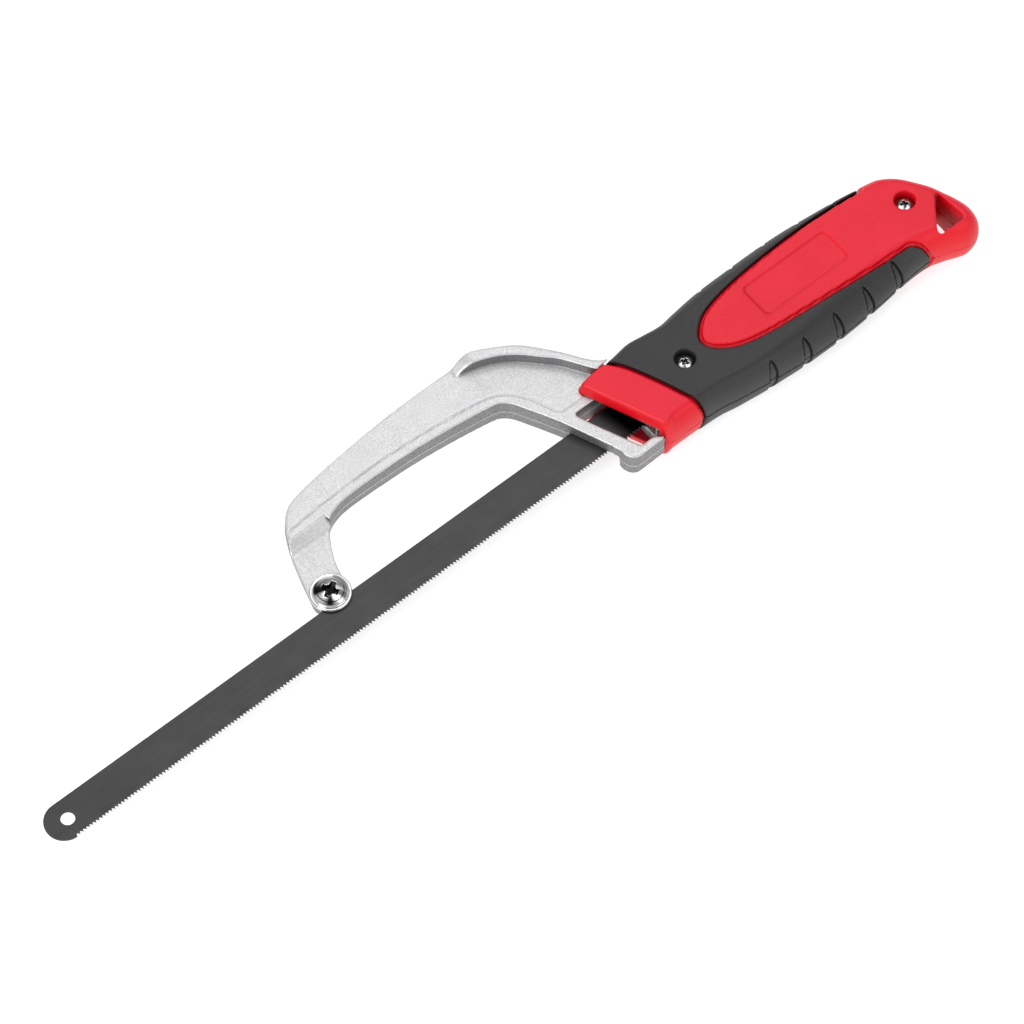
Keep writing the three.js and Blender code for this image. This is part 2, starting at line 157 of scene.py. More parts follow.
def surface(field, xs, ys, zs):
    """Vertices and outward faces of the surface where a field is zero, on a grid."""
    shape = (len(xs), len(ys), len(zs))
    grid = np.array(np.broadcast_to(field(xs[:, None, None], ys[None, :, None], zs[None, None, :]), shape))
    inside = grid < 0
    n = np.array(shape) - 1
    corners = [(i, j, k) for i in (0, 1) for j in (0, 1) for k in (0, 1)]
    total = np.zeros(n, np.int8)
    for i, j, k in corners:
        total += inside[i:i + n[0], j:j + n[1], k:k + n[2]]
    cells = np.argwhere((total > 0) & (total < 8))
    index = np.full(n, -1, np.int64)
    index[tuple(cells.T)] = np.arange(len(cells))
    axes = (xs, ys, zs)
    summed = np.zeros((len(cells), 3))
    hits = np.zeros(len(cells))
    for a in corners:
        for axis in range(3):
            if a[axis]:
                continue
            b = list(a)
            b[axis] = 1
            ca, cb = cells + a, cells + b
            va, vb = grid[tuple(ca.T)], grid[tuple(cb.T)]
            crossing = (va < 0) != (vb < 0)
            t = np.where(crossing, va / np.where(crossing, va - vb, 1), 0)
            point = np.stack([axes[d][ca[:, d]] for d in range(3)], 1)
            point[:, axis] += t * (axes[axis][cb[:, axis]] - axes[axis][ca[:, axis]])
            summed += point * crossing[:, None]
            hits += crossing
    vertices = summed / hits[:, None]
    faces = []
    for axis in range(3):
        u, v = (axis + 1) % 3, (axis + 2) % 3
        low, high = [slice(None)] * 3, [slice(None)] * 3
        low[axis], high[axis] = slice(0, -1), slice(1, None)
        a = inside[tuple(low)]
        at = np.argwhere(a != inside[tuple(high)])
        at = at[(at[:, u] >= 1) & (at[:, v] >= 1) & (at[:, u] < n[u]) & (at[:, v] < n[v])]
        eu, ev = np.eye(3, dtype=int)[u], np.eye(3, dtype=int)[v]
        quad = np.stack([index[tuple(c.T)] for c in (at, at - eu, at - eu - ev, at - ev)], 1)
        outward = a[tuple(at.T)]
        quad[~outward] = quad[~outward][:, ::-1]
        faces.append(quad)
    return vertices, np.vstack(faces)


# ---------------------------------------------------------------- meshes

def mesh_object(name, vertices, faces, material):
    """A smooth-shaded mesh object in the row frame from vertices in millimetres."""
    mesh = bpy.data.meshes.new(name)
    mesh.from_pydata(to_row(vertices).tolist(), [], [[int(v) for v in face] for face in faces])
    mesh.validate()
    mesh.shade_smooth()
    mesh.materials.append(material)
    made = bpy.data.objects.new(name, mesh)
    bpy.context.scene.collection.objects.link(made)
    return made


def piece(name, body, node, made):
    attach(made, body)
    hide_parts(node)
    return made


# ---------------------------------------------------------------- frame casting

CLAMP = (111.4, 9.9)
PIN_X = 250.0
REAR_SCREW_X = 344.9
BAR_TOP = (206.1, 9.3)
BAR_FOOT = (214, -10.3)
FRAME_BACK = [
    (105.1, 11.5), (108.2, 22.2), (112, 32.6), (116.7, 39.6), (123.5, 42.9), (141.3, 45.4),
    (165, 47.2), (189, 47.4), (200, 45.9), (210, 40.4), (218.8, 31), (226.4, 20.4), (230, 16.3),
]
FRAME_LOOP = [
    BAR_TOP, (201.3, 18.8), (196.6, 26.3), (189.2, 28.7), (165, 31.5), (140, 32.2),
    (131, 31.2), (125.3, 27.9), (120.2, 19.3), (118, 12.2),
]
FRAME_OUTLINE = np.vstack([
    curve(FRAME_BACK),
    [(240, 12), (240, -12.8), (228.4, -16)],
    arc(218, -12.4, 4, 275, 170, 10),
    [BAR_FOOT],
    curve(FRAME_LOOP),
    arc(*CLAMP, 6.6, 0, -190, 24),
])
PANEL_OUTLINE = np.vstack([
    curve([
        (106, 32.7), (115, 33.9), (129, 34.9), (149, 35.4), (169, 34.3), (189.3, 31.9), (197.3, 29.2),
        (203, 23.2), (207.2, 13.6), (209.4, 11.8),
    ]),
    [(240, 11.8), (240, 60), (100, 60)],
])
RIB_OUTLINE = np.vstack([
    curve([
        (190.5, 46.8), (194.3, 46.9), (198.5, 46.4), (205.2, 42.9), (212.4, 37.9), (220.7, 27.8), (225.2, 20.9),
        (229, 16.9), (233, 15.4),
    ]),
    curve([
        (233, 12.8), (227.4, 13.6), (224.9, 16.3), (218.9, 25.6), (214.4, 30.4), (210, 35), (204.6, 39),
        (198.6, 41.7), (191.2, 43.7),
    ]),
    arc(191.2, 45.3, 1.6, 260, 100, 12),
])
WINDOW_OUTLINE = np.array([
    (212, 9.6), (211, 8.4), (212.9, 3.3), (218.3, -9.5), (220.2, -13.9), (228.4, -13.1), (228.4, 9.6),
])
NOTCH_OUTLINE = np.array([(200, -10.3), (222, -10.3), (214.6, 7.3), (200, 7.3)])
NOTCH_TOP = 0.575
ARM_HALF, LEG_HALF = 4.14, 5.3
PANEL_RISE, PANEL_SLOPE_WIDTH = 0.42, 0.45
OUTLINE_INSET, WINDOW_INSET = 0.2, 0.4
DRAFT, DRAFT_HEIGHT = 0.3, 5.8
FLASH, FLASH_HEIGHT = 0.15, 0.7
SEAT_TOP, SEAT_END_X = 0.28, 126.6
RAMP_FOOT_Y, RAMP_SLOPE, RAMP_TRUE_DISTANCE = 28.6, 1.362, 0.592
BED_TOP, BED_BACK_Y = -0.38, 6.95
RIB_HALF, RIB_FALL, RIB_FALL_X = 10.5, 0.085, 198
HANDLE_CLEARANCE = 0.06
NECK_HALF_WIDTH = 12.6
TANG_TOP = -0.6
PIN_HOLE_RADIUS = 2.45
CLAMP_HOLE_RADIUS = 3.3
FAR_INSIDE = -9.0


def casting_field(x, y, z):
    outline = outline_distance(FRAME_OUTLINE, x, y)
    high = np.abs(z)
    half = np.interp(x, [94, 190, 240], [ARM_HALF, LEG_HALF, LEG_HALF])
    half = half + PANEL_RISE * ease(-outline_distance(PANEL_OUTLINE, x, y) / PANEL_SLOPE_WIDTH)
    draft = DRAFT * np.clip(1 - high / DRAFT_HEIGHT, 0, 1)
    flash = FLASH * np.clip(1 - high / FLASH_HEIGHT, 0, 1)
    web = both(outline + OUTLINE_INSET - draft - flash, high - half, 0.6)

    # The arm is cut down to a seat for the washer, with a ramp behind it, and cut deeper where the blade lies.
    past_seat = SEAT_END_X - x
    ramp = (z - SEAT_TOP - (y - RAMP_FOOT_Y) * RAMP_SLOPE) * RAMP_TRUE_DISTANCE
    web = both(web, np.minimum(either(z - SEAT_TOP, ramp, 1.0), past_seat), 0.35)
    bed = np.maximum(np.minimum(z - BED_TOP, past_seat), FAR_INSIDE)
    web = both(web, np.where(y < BED_BACK_Y, bed, FAR_INSIDE), 0.1)

    crest = RIB_HALF - RIB_FALL * np.maximum(0, RIB_FALL_X - x) ** 2
    rib = both(outline_distance(RIB_OUTLINE, x, y) + 0.05 * (high - 9), high - crest, 0.45)
    outside = either(web, rib, 0.7)

    # It stops at the handle, and a narrower neck and a thin tang go on inside.
    edge = outline_distance(HANDLE_OUTLINE, x, y)
    collar = collar_form(x, y, z, edge, COLLAR_FACE, HANDLE_CLEARANCE)
    grip = rounded_slab(edge - HANDLE_CLEARANCE, z, rim_width(x, y), HANDLE_HALF) + np.maximum(0, 229 - x)
    outside = both(outside, -np.minimum(collar, grip), 0.2)
    mouth_room = np.maximum(slab(x, 213, 229), np.abs(y) - NECK_HALF_WIDTH)
    mouth = np.maximum(mouth_room, both(outline - draft, high - LEG_HALF, 0.3))
    neck = box_field(x, y, z, 227.5, 236, -NECK_HALF_WIDTH, NECK_HALF_WIDTH, -LEG_HALF, LEG_HALF)
    made = np.minimum(np.minimum(outside, mouth), neck)
    made = without(made, outline_distance(WINDOW_OUTLINE, x, y) + WINDOW_INSET, 0.5)
    made = without(made, box_field(x, y, z, 227, 240, -11.2, 8, TANG_TOP, 20))
    tang = box_field(x, y, z, 227.8, 300, -7.5, 7.5, -4.2, TANG_TOP)
    made = np.minimum(made, both(tang, -rod(x, y, PIN_X, 0, PIN_HOLE_RADIUS), 0.1))
    made = without(made, np.maximum(outline_distance(NOTCH_OUTLINE, x, y), z - NOTCH_TOP), 0.3)
    return without(made, rod(x, y, *CLAMP, CLAMP_HOLE_RADIUS), 0.3)


# ---------------------------------------------------------------- handle

HANDLE_HALF = 11.0
GRIP_FACE = 10.7
COLLAR_FACE, COLLAR_END_X = 10.4, 246
LEDGE_DROP, LEDGE_WIDTH, LEDGE_SLOPE_WIDTH = 1.3, 0.9, 0.25
GRIP_SKIN = 2.2
SEAM_GAP = 0.42
HEAD_FLOOR = 6.2
SCREW_POCKETS = ((PIN_X, 4.7), (REAR_SCREW_X, 3.65))
SCREW_HOLE_RADIUS, SCREW_HOLE_END = 1.75, -8.8
LABEL_DEPTH = 0.6
SHELL_OVERLAP = 0.08
GRIP_PARTING_GAP = 0.2
COLLAR_RIM, COLLAR_BELLY_EXTRA = 2.1, 3.2
COLLAR_CORNER = 2.2
HANDLE_OUTLINE = curve([
    (196, 12), (205, 13), (214, 14), (220, 15.7), (227, 16.5), (233, 17.2), (239.5, 18.1), (246, 17.6),
    (252.6, 17.1), (259, 18), (270, 19.3), (284, 19.8), (295, 19.9), (306, 19.6), (318, 18.6),
    (330, 17.2), (336, 16.2), (342.9, 15), (346, 13.8), (349.2, 11.7), (351.8, 9.2), (354.9, 5.2),
    (357.9, 0.7), (359.7, -4.1), (361.4, -9.1), (362.3, -13.4), (362, -17.2), (360.8, -19.9),
    (358.6, -21.6), (355, -22.25), (352, -21.5), (347.6, -19.9), (343, -18.6), (339.5, -18.5), (335, -18.6),
    (330, -19), (324.4, -19.7), (318, -20.4), (311, -20.95), (304, -21.35), (298, -21.6), (292, -21.5),
    (283.5, -21.2), (277, -20.6), (269.5, -19.9), (263.4, -19.1), (258, -18.4), (252, -17.3),
    (243, -16.8), (229, -16.7), (214, -16.6), (196, -16.6),
])
GRIP_OUTLINE = np.vstack([
    curve([(228.2, 18.5), (229.6, 15.5), (233.5, 10), (238, 0), (241.3, -9), (243, -14.5), (244.4, -22)]),
    curve([
        (338.2, -24), (337.8, -19.4), (337.7, -17.8), (337.3, -15.8), (336.5, -14.4), (335.1, -13.5), (333, -13.2),
        (326, -12.9), (311.9, -12.3), (291.8, -10.9), (276.7, -9.4), (266.6, -7), (260.6, -3.2),
        (258.4, 0.6), (259.6, 4.3), (265.6, 8.9), (276, 11.6), (291.8, 13.3), (311.9, 14.1),
        (326, 13.7), (336.2, 12.8),
    ]),
    [(336.6, 16), (336.8, 24), (228, 24)],
])
GROOVES = (271.4, 285.2, 299.0, 312.9, 326.6)
GROOVE_TOP = 8.7
GROOVE_HALF = 1.7
GROOVE_DEPTH = 0.55
GROOVE_FLOOR_Y = 12
EDGE_CUT_DEPTH, EDGE_CUT_HALF = 1.3, 0.26


def seam_distance(x, y, z):
    """Distance to the grip's outline, whose ends lean back towards the parting plane on the belly."""
    lean = np.where(x > 300, 3.7, 1.5) * (y < -8) * ease((-8 - y) / 6)
    share = np.clip(np.abs(z) / HANDLE_HALF, 0, 1)
    upright, leaning = outline_distance(GRIP_OUTLINE, x, y), outline_distance(GRIP_OUTLINE, x - lean, y)
    return share * upright + (1 - share) * leaning


def rim_width(x, y):
    """Width of the rounded rim round the handle's flat sides."""
    back = np.interp(x, [214, 240, 255, 285, 320, 340, 350, 357, 363], [3, 3.2, 4.5, 6, 6, 5, 5.2, 6.4, 8])
    belly = np.interp(
        x, [214, 243, 255, 268, 276, 286, 300, 314, 324, 335, 345, 363],
        [4, 4.5, 5, 5.5, 6.5, 8.4, 11, 12, 13, 9, 6, 5.5],
    )
    return belly + (back - belly) * ease((y + 8) / 10)


def rounded_slab(edge, z, width, half, power=2.0):
    """A plate with an elliptical rim, from the distance to its outline. A higher power is squarer."""
    depth = np.maximum(1 + edge / width, 0)
    high = np.abs(z) / half
    level = np.maximum((depth**power + high**power) ** (1 / power), 1e-6)
    slope = np.hypot(depth ** (power - 1) / width, high ** (power - 1) / half) / level ** (power - 1)
    return (level - 1) / np.maximum(slope, 0.04)


def collar_front(x, y):
    return -0.926 * (x - 210.4) - 0.377 * (y - 30)


def collar_form(x, y, z, edge, half, clearance=0.0):
    """The collar: square-shouldered, with a rounded front and rounded corners in plan."""
    front = collar_front(x, y)
    plan = both(edge + 0.02, front, COLLAR_CORNER) - clearance
    belly = ease((edge - front + 2) / 4) * ease((4 - y) / 8)
    width = COLLAR_RIM + COLLAR_BELLY_EXTRA * belly
    return rounded_slab(plan, z, width, half + clearance, 2.5 - 0.45 * belly)


def hanging_hole(x, y, z):
    """A three-cornered hole whose far wall leans outwards as it goes down."""
    left = -0.786 * (x - 353.4) + 0.619 * (y + 5.3)
    below = -0.11 * (x - 345.4) - 0.994 * (y + 16.45)
    lean = 0.065 * (HANDLE_HALF - z)
    right = x - 355.3 - lean + 0.041 * (y + 6.1)
    return both(both(both(left, 345.3 - x, 1.2), below, 1.7), right, 1.7)


def label_field(x, y):
    return both(slab(x, 281, 316.5), slab(y, -5, 8.3), 2.0)


def handle_hollow(x, y, z):
    made = box_field(x, y, z, 200, 236.3, -12.9, 12.9, -5.6, 5.6)
    for room in (
        (230, 261, -10.5, 11, -4.5, 1.2), (230, 300.3, -7.8, 7.8, -4.5, 0.2),
        (264, 285, -10.5, 10.5, -7.8, 7.8), (287.2, 308.2, -10.5, 10.5, -7.8, 7.8),
        (310.4, 331.4, -10.5, 10.5, -7.8, 7.8),
    ):
        made = np.minimum(made, box_field(x, y, z, *room))
    return np.minimum(made, np.maximum(rod(x, y, PIN_X, 0, PIN_HOLE_RADIUS), slab(z, -4.7, 1.8)))


def shell_field(side):
    """One half of the red handle: side 1 is the near half and -1 the far half."""
    def field(x, y, z):
        edge = outline_distance(HANDLE_OUTLINE, x, y)
        seam = seam_distance(x, y, z)
        drop = LEDGE_DROP * (1 - ease((seam - LEDGE_WIDTH) / LEDGE_SLOPE_WIDTH))
        width = rim_width(x, y)
        body = np.where(
            x < COLLAR_END_X, collar_form(x, y, z, edge + 0.5 * drop, COLLAR_FACE - drop),
            rounded_slab(edge + 0.02 + 0.7 * drop, z, width, HANDLE_HALF - drop),
        )
        core = rounded_slab(edge + GRIP_SKIN + 0.3, z, np.maximum(width - 1.5, 1.5), HANDLE_HALF - GRIP_SKIN - 0.3)
        body = both(body, np.minimum(-seam, core), 0.3)
        body = without(body, handle_hollow(x, y, z))
        body = without(body, hanging_hole(x, y, z), 0.45)
        for screw_x, radius in SCREW_POCKETS:
            body = without(body, np.maximum(rod(x, y, screw_x, 0, radius), HEAD_FLOOR - z), 0.3)
            body = without(body, np.maximum(rod(x, y, screw_x, 0, SCREW_HOLE_RADIUS), SCREW_HOLE_END - z))
        if side > 0:
            body = without(body, np.maximum(label_field(x, y), HANDLE_HALF - LABEL_DEPTH - z), 0.15)
        return np.maximum(body, -SHELL_OVERLAP - side * z)
    return field


def groove_field(x, y, z):
    """The grip's finger grooves: slots round its back and its belly, each drawn in to a point on the flat side."""
    half = GROOVE_HALF * np.sqrt(np.maximum(0, 1 - (z / GROOVE_TOP) ** 2)) - 0.05
    half = half - np.maximum(0, np.abs(z) - GROOVE_TOP)
    made = np.min([np.abs(x - centre) - half for centre in GROOVES], axis=0)
    return np.maximum(made, GROOVE_FLOOR_Y - np.abs(y))


def grip_field(side):
    """One half of the soft cover: a skin over the shell's core, with grooves, and a thin deep cut round each."""
    def field(x, y, z):
        edge = outline_distance(HANDLE_OUTLINE, x, y)
        seam = seam_distance(x, y, z)
        width = rim_width(x, y)
        body = rounded_slab(edge + 0.02, z, width, GRIP_FACE)
        groove = groove_field(x, y, z)
        edge_cut = np.maximum(np.abs(groove + 0.1) - EDGE_CUT_HALF, GROOVE_FLOOR_Y + 0.2 - np.abs(y))
        edge_cut = np.maximum(edge_cut, -(body + EDGE_CUT_DEPTH))
        body = without(np.maximum(body, -np.maximum(groove, -(body + GROOVE_DEPTH))), edge_cut, 0.1)
        body = both(body, seam + SEAM_GAP, 0.45)
        core = rounded_slab(edge + GRIP_SKIN, z, np.maximum(width - 1.2, 1.5), HANDLE_HALF - GRIP_SKIN)
        body = np.maximum(body, -core)
        lining = both(rod(x, y, PIN_X, 0, 4.5), slab(z, HEAD_FLOOR + 0.2, HANDLE_HALF - GRIP_SKIN + 0.5))
        body = np.minimum(body, lining)
        body = without(body, np.maximum(rod(x, y, PIN_X, 0, 3.55), HEAD_FLOOR + 0.75 - z), 0.35)
        body = without(body, np.maximum(rod(x, y, PIN_X, 0, 2.9), -z))
        return both(body, GRIP_PARTING_GAP - side * z, 0.12)
    return field


# ---------------------------------------------------------------- screws, washer, sleeve and blade

def head_field(cx, cy, seat, radius, height, shank, bottom, turn, recess, crown_share):
    """A pan head screw with a tapered cross recess, standing along Z."""
    c, s = math.cos(math.radians(turn)), math.sin(math.radians(turn))

    def field(x, y, z):
        r = np.hypot(x - cx, y - cy)
        up = z - seat
        dome = height * crown_share
        ball = (radius**2 + dome**2) / (2 * dome)
        crown = np.hypot(r, up - (height - ball)) - ball
        head = both(both(r - radius, crown, min(radius * 0.16, height * 0.2)), -up, 0.12)
        rod_body = both(both(r - shank, bottom - z, 0.4), z - seat - 0.5)
        made = either(head, rod_body, 0.15)

        # The recess is two crossed wings that narrow as they go down, and a round middle.
        u = np.abs(c * (x - cx) + s * (y - cy))
        v = np.abs(c * (y - cy) - s * (x - cx))
        depth = np.clip((height - up) / (height * recess), 0, 1.2)
        reach, wide = radius * (0.55 - 0.26 * depth), radius * (0.16 - 0.05 * depth)
        wing = np.minimum(both(u - reach, v - wide, 0.1), both(v - reach, u - wide, 0.1))
        wing = either(wing, np.hypot(u, v) - radius * (0.25 - 0.1 * depth), radius * 0.12)
        slot = both(wing, seat + height * (1 - recess) - z)
        return without(made, slot, radius * 0.03)
    return field


def washer_field(x, y, z):
    r = np.hypot(x - CLAMP[0], y - CLAMP[1])
    return both(both(r - 6.9, 3.3 - r, 0.2), slab(z, 0.38, 1.68), 0.45)


def sleeve_field(x, y, z):
    r = np.hypot(x - PIN_X, y)
    return both(both(r - 2.15, 1.65 - r, 0.1), slab(z, -4.4, 1.5), 0.15)


BLADE_HALF_THICKNESS = 0.325
BLADE_END_RADIUS = 6.6
BLADE_HOLE_RADIUS = 2.3
BLADE_ENDS = (-1.3, 251.3)
TOOTH_PITCH = 1.225
TOOTH_COUNT = 200
TOOTH_PROFILE = ((0.0, -6.65), (0.10, -6.25), (0.22, -5.9), (0.38, -5.68), (0.62, -5.82), (0.93, -6.28))
SET_WIDTH = 0.15
SET_PERIOD = 9.0


def blade_piece(material):
    """The toothed blade: flat faces out to its outline and both holes, a rim, and a wavy set in its teeth."""
    tip, tail = BLADE_ENDS
    teeth = [
        (tip + (i + along) * TOOTH_PITCH, y)
        for i in range(TOOTH_COUNT) for along, y in TOOTH_PROFILE
    ]
    end = [(tip + TOOTH_COUNT * TOOTH_PITCH, -BLADE_END_RADIUS)]
    outline = np.vstack([
        arc(tail, 0, BLADE_END_RADIUS, -90, 90, 25), arc(tip, 0, BLADE_END_RADIUS, 90, 270, 31)[:-1], teeth, end,
    ])
    holes = [arc(x, 0, BLADE_HOLE_RADIUS, 0, 360, 49)[:-1] for x in (0, PIN_X)]
    loops = [outline] + holes
    inner = [(x, y) for y in (-5.35, -4.8) for x in np.arange(tip, tail, TOOTH_PITCH)]
    inner += [(x, y) for y in (-3.2, 3.2, 5.9) for x in np.arange(tip, tail, 5)]
    flat = np.vstack(loops + [inner])
    edges, start = [], 0
    for loop in loops:
        n = len(loop)
        edges += [(start + i, start + (i + 1) % n) for i in range(n)]
        start += n
    found = geometry.delaunay_2d_cdt([Vector(p) for p in flat], edges, [], 0, 1e-5)
    points, faces = np.array([tuple(v) for v in found[0]]), np.array([f for f in found[2] if len(f) == 3])
    middle = points[faces].mean(1)
    keep = outline_distance(outline, middle[:, 0], middle[:, 1]) < 0
    for x in (0, PIN_X):
        keep &= np.hypot(middle[:, 0] - x, middle[:, 1]) > BLADE_HOLE_RADIUS - 0.01
    faces = faces[keep]
    a, b, c = (points[faces[:, i]] for i in range(3))
    turn = (b - a)[:, 0] * (c - a)[:, 1] - (b - a)[:, 1] * (c - a)[:, 0]
    faces[turn < 0] = faces[turn < 0][:, ::-1]
    vertices, rows = [], []
    for side in (1, -1):
        base = len(vertices)
        vertices += [(x, y, side * BLADE_HALF_THICKNESS) for x, y in points]
        rows += [tuple(base + f) for f in (faces if side > 0 else faces[:, ::-1])]
    for number, loop in enumerate(loops):
        base, n = len(vertices), len(loop)
        for side in (1, -1):
            vertices += [(x, y, side * BLADE_HALF_THICKNESS) for x, y in loop]
        for i in range(n):
            j = (i + 1) % n
            quad = (base + i, base + n + i, base + n + j, base + j)
            rows.append(quad if number == 0 else quad[::-1])
    vertices = np.array(vertices)
    bend = SET_WIDTH * np.sin(2 * math.pi * vertices[:, 0] / SET_PERIOD) * ease((-5 - vertices[:, 1]) / 1.4)
    vertices[:, 2] += bend
    made = mesh_object("blade_toothed", vertices, rows, material)
    joined = bmesh.new()
    joined.from_mesh(made.data)
    bmesh.ops.remove_doubles(joined, verts=joined.verts, dist=1e-6)
    bmesh.ops.recalc_face_normals(joined, faces=joined.faces)
    joined.to_mesh(made.data)
    joined.free()
    made.data.set_sharp_from_angle(angle=math.radians(35))
    return made


# ---------------------------------------------------------------- materials

def linear(value):
    value /= 255
    return value / 12.92 if value <= 0.04045 else ((value + 0.055) / 1.055) ** 2.4


def colour(r, g, b):
    return (linear(r), linear(g), linear(b), 1)


def grey(level):
    """A very slightly blue grey, as plated steel has."""
    return colour(level, level, level + 1)


CREASE_POINTINESS = (0.455, 0.492)


class Finish:
    """A material's node tree, with short calls to add and join nodes."""

    def __init__(self, name, **inputs):
        self.material = bpy.data.materials.new(name)
        self.material.use_nodes = True
        self.tree = self.material.node_tree
        self.shader = self.tree.nodes["Principled BSDF"]
        for key, value in inputs.items():
            self.shader.inputs[key.replace("_", " ")].default_value = value
        coordinates = self.tree.nodes.new("ShaderNodeTexCoord")
        self.place, self.normal = coordinates.outputs["Object"], coordinates.outputs["Normal"]

    def join(self, source, target):
        self.tree.links.new(source, target)

    def noise(self, size_mm, detail=3.0, roughness=0.6, stretch=None):
        node = self.tree.nodes.new("ShaderNodeTexNoise")
        node.inputs["Scale"].default_value = 1 / (size_mm * MM)
        node.inputs["Detail"].default_value = detail
        node.inputs["Roughness"].default_value = roughness
        place = self.place
        if stretch:
            mapping = self.tree.nodes.new("ShaderNodeMapping")
            mapping.inputs["Scale"].default_value = stretch
            self.join(place, mapping.inputs["Vector"])
            place = mapping.outputs["Vector"]
        self.join(place, node.inputs["Vector"])
        return node.outputs["Fac"]

    def ramp(self, source, *stops):
        node = self.tree.nodes.new("ShaderNodeValToRGB")
        band = node.color_ramp
        while len(band.elements) < len(stops):
            band.elements.new(0.5)
        for element, (at, value) in zip(band.elements, stops):
            element.position = at
            element.color = value if isinstance(value, tuple) else (value, value, value, 1)
        self.join(source, node.inputs["Fac"])
        return node.outputs["Color"]

    def mix(self, factor, a, b):
        node = self.tree.nodes.new("ShaderNodeMix")
        node.data_type = "RGBA"
        for socket, value in ((node.inputs[0], factor), (node.inputs[6], a), (node.inputs[7], b)):
            if isinstance(value, (int, float, tuple)):
                socket.default_value = value
            else:
                self.join(value, socket)
        return node.outputs[2]

    def bump(self, *layers):
        """Bump from (height, strength, depth in mm) layers, each laid on the one before."""
        normal = None
        for height, strength, depth_mm in layers:
            node = self.tree.nodes.new("ShaderNodeBump")
            node.inputs["Strength"].default_value = strength
            node.inputs["Distance"].default_value = depth_mm * MM
            self.join(height, node.inputs["Height"])
            if normal:
                self.join(normal, node.inputs["Normal"])
            normal = node.outputs["Normal"]
        self.join(normal, self.shader.inputs["Normal"])

    def maths(self, operation, *values):
        node = self.tree.nodes.new("ShaderNodeMath")
        node.operation = operation
        for socket, value in zip(node.inputs, values):
            if isinstance(value, (int, float)):
                socket.default_value = value
            else:
                self.join(value, socket)
        return node.outputs[0]

    def vector(self, operation, source, amount):
        node = self.tree.nodes.new("ShaderNodeVectorMath")
        node.operation = operation
        self.join(source, node.inputs[0])
        node.inputs[1].default_value = amount
        return node.outputs[0]

    def split(self, source):
        node = self.tree.nodes.new("ShaderNodeSeparateXYZ")
        self.join(source, node.inputs[0])
        return node.outputs

    def facing(self, low, high):
        """How nearly the surface faces along Z: 0 on the walls, 1 on the flat sides."""
        return self.ramp(self.maths("ABSOLUTE", self.split(self.normal)["Z"]), (low, 0.0), (high, 1.0))

    def parting_line(self, half_mm):
        """1 in a line of this half width where the two halves of the mould met, at the height of the blade."""
        return self.maths("COMPARE", self.split(self.place)["Z"], float(ORIGIN[2]), half_mm * MM)

    def painted_shadow_ramp(self, start, end):
        """A painted shadow that comes in along the saw's length, as a mask from 0 at start to 1 at end."""
        low, high = (to_row((x, 0, 0))[0] for x in (start, end))
        along = self.maths("SUBTRACT", self.split(self.place)["X"], float(low))
        return self.ramp(self.maths("DIVIDE", along, float(high - low)), (0.0, 0.0), (1.0, 1.0))

    def painted_crease_shade(self):
        """Where the surface turns sharply inwards: 1 in grooves and seams, the mask for painted shade there."""
        node = self.tree.nodes.new("ShaderNodeNewGeometry")
        low, high = CREASE_POINTINESS
        return self.ramp(node.outputs["Pointiness"], (low, 1.0), (high, 0.0))

    def colour(self, source):
        self.join(source, self.shader.inputs["Base Color"])

    def roughness(self, source):
        self.join(source, self.shader.inputs["Roughness"])


def cast_aluminium():
    f = Finish("cast_aluminium", Metallic=0.92, Roughness=0.5)
    grain = f.noise(0.36, 2.0, 0.8)
    blotch = f.noise(6.0, 3.0)
    base = f.ramp(grain, (0.32, colour(178, 178, 179)), (0.66, colour(218, 218, 219)))
    base = f.mix(0.15, base, f.ramp(blotch, (0.35, colour(192, 193, 195)), (0.65, colour(216, 216, 217))))
    # Painted shade: the walls take a darker grey than the flat sides, as if less light falls on them.
    wall = f.ramp(grain, (0.32, colour(102, 102, 103)), (0.66, colour(160, 160, 161)))
    # Painted highlight: a bright line along the walls at the parting line, where the flash ridge would catch
    # light.
    wall = f.mix(f.maths("MULTIPLY", f.parting_line(0.13), 0.6), wall, colour(240, 240, 240))
    base = f.mix(f.facing(0.28, 0.48), wall, base)
    # Painted shade: creases and seams take a dark grey.
    f.colour(f.mix(f.painted_crease_shade(), base, colour(120, 120, 122)))
    f.roughness(f.ramp(grain, (0.3, 0.62), (0.7, 0.42)))
    f.bump((f.noise(0.6, 3.0), 0.4, 0.05), (grain, 0.7, 0.045))
    return f.material


def blade_steel():
    f = Finish("blade_steel", Metallic=0.85, Roughness=0.42, Specular_IOR_Level=0.4)
    streak = f.noise(0.5, 3.0, 0.6, (0.02, 1, 1))
    cloud = f.noise(9.0, 2.0)
    base = f.ramp(streak, (0.3, colour(64, 64, 65)), (0.7, colour(69, 69, 70)))
    base = f.mix(0.4, base, f.ramp(cloud, (0.3, colour(56, 56, 57)), (0.7, colour(68, 68, 69))))
    # Painted shadow: the blade goes near black from X 217.5 to 223, where the collar shades it in the handle's
    # window.
    f.colour(f.mix(f.painted_shadow_ramp(217.5, 223), base, colour(6, 5, 7)))
    f.roughness(f.ramp(streak, (0.3, 0.45), (0.7, 0.40)))
    f.bump((streak, 0.06, 0.008), (f.noise(0.4, 2.0), 0.25, 0.02))
    return f.material


def plated_steel(name, low, high):
    f = Finish(name, Metallic=1.0, Roughness=low)
    haze = f.noise(1.6, 3.0)
    f.colour(f.ramp(haze, (0.3, colour(184, 184, 186)), (0.7, colour(206, 206, 207))))
    f.roughness(f.ramp(f.noise(0.7, 3.0), (0.35, low), (0.65, high)))
    f.bump((f.noise(0.5, 3.0), 0.10, 0.02))
    return f.material


